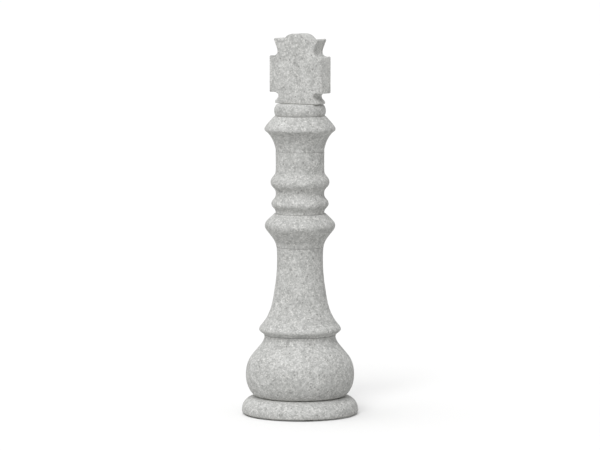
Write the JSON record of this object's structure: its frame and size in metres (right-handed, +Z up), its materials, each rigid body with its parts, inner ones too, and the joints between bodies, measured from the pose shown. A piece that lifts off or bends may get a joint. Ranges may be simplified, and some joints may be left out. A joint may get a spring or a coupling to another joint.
{
  "type": "giant chess king",
  "caption": "Giant lawn chess king: a ballasted bulb base, flared stem and ringed head that screw together, with a flat lift-out cross on top.",
  "frame": {"origin": "centre of the underside, on the ground the feet stand on", "axes": "+Z up along the turning axis; the flat faces of the cross look along -Y (front) and +Y (back)"},
  "size_m": [0.287, 0.287, 0.94],
  "materials": {
    "granite_shell": "light grey fine-speckled granite effect, matt",
    "inner_plastic": "plain mid grey moulded polyethylene",
    "rubber": "black",
    "steel": "stainless screws and bolt",
    "sand": "loose dry sand"
  },
  "bodies": {
    "base": {"base_disc": "granite_shell", "ballast_tank": "granite_shell", "sand_ballast": "sand", "foot_pad_1": "rubber", "foot_pad_2": "rubber", "foot_pad_3": "rubber", "foot_pad_4": "rubber", "foot_screw_1": "steel", "foot_screw_2": "steel", "foot_screw_3": "steel", "foot_screw_4": "steel", "tank_screw_1": "steel", "tank_screw_2": "steel", "tank_screw_3": "steel", "tank_screw_4": "steel"},
    "plug_seal": {"plug_seal": "rubber"},
    "filler_plug": {"filler_plug": "inner_plastic"},
    "stem_seal": {"stem_seal": "rubber"},
    "stem": {"stem_shell": "granite_shell", "stem_thread_ring": "inner_plastic", "ring_screw_1": "steel", "ring_screw_2": "steel", "ring_screw_3": "steel"},
    "head_seal": {"head_seal": "rubber"},
    "head": {"head_thread_ring": "inner_plastic", "lower_collar": "granite_shell", "head_shell": "granite_shell", "upper_collar": "granite_shell", "cross_plinth": "granite_shell", "crown_bolt": "steel", "crown_washer": "steel", "crown_nut": "steel"},
    "cross": {"cross_front": "granite_shell", "cross_back": "granite_shell", "cross_tenon": "inner_plastic", "cross_screw_1": "steel", "cross_screw_2": "steel", "cross_screw_3": "steel", "cross_screw_4": "steel"}
  },
  "joints": [
    {"name": "stem_lift", "type": "slide", "parent": "base", "child": "stem_seal", "axis": [0, 0, 1], "range_m": [0, 0.02401]},
    {"name": "stem_turn", "type": "hinge", "parent": "stem_seal", "child": "stem", "pos_m": [0, 0, 0.2], "axis": [0, 0, 1], "range_deg": [0, 720]},
    {"name": "head_lift", "type": "slide", "parent": "stem", "child": "head_seal", "axis": [0, 0, 1], "range_m": [0, 0.02401]},
    {"name": "head_turn", "type": "hinge", "parent": "head_seal", "child": "head", "pos_m": [0, 0, 0.415], "axis": [0, 0, 1], "range_deg": [0, 720]},
    {"name": "cross_pull", "type": "slide", "parent": "head", "child": "cross", "axis": [0, 0, 1], "range_m": [0, 0.055]},
    {"name": "plug_drop", "type": "slide", "parent": "base", "child": "plug_seal", "axis": [0, 0, -1], "range_m": [0, 0.02001]},
    {"name": "plug_turn", "type": "hinge", "parent": "plug_seal", "child": "filler_plug", "pos_m": [0, 0, 0.009], "axis": [0, 0, -1], "range_deg": [0, 900]}
  ],
  "couplings": [
    {"joint": "stem_lift", "follows": "stem_turn", "m_per_rad": 0.0019099},
    {"joint": "head_lift", "follows": "head_turn", "m_per_rad": 0.0019099},
    {"joint": "plug_drop", "follows": "plug_turn", "m_per_rad": 0.0012732}
  ]
}
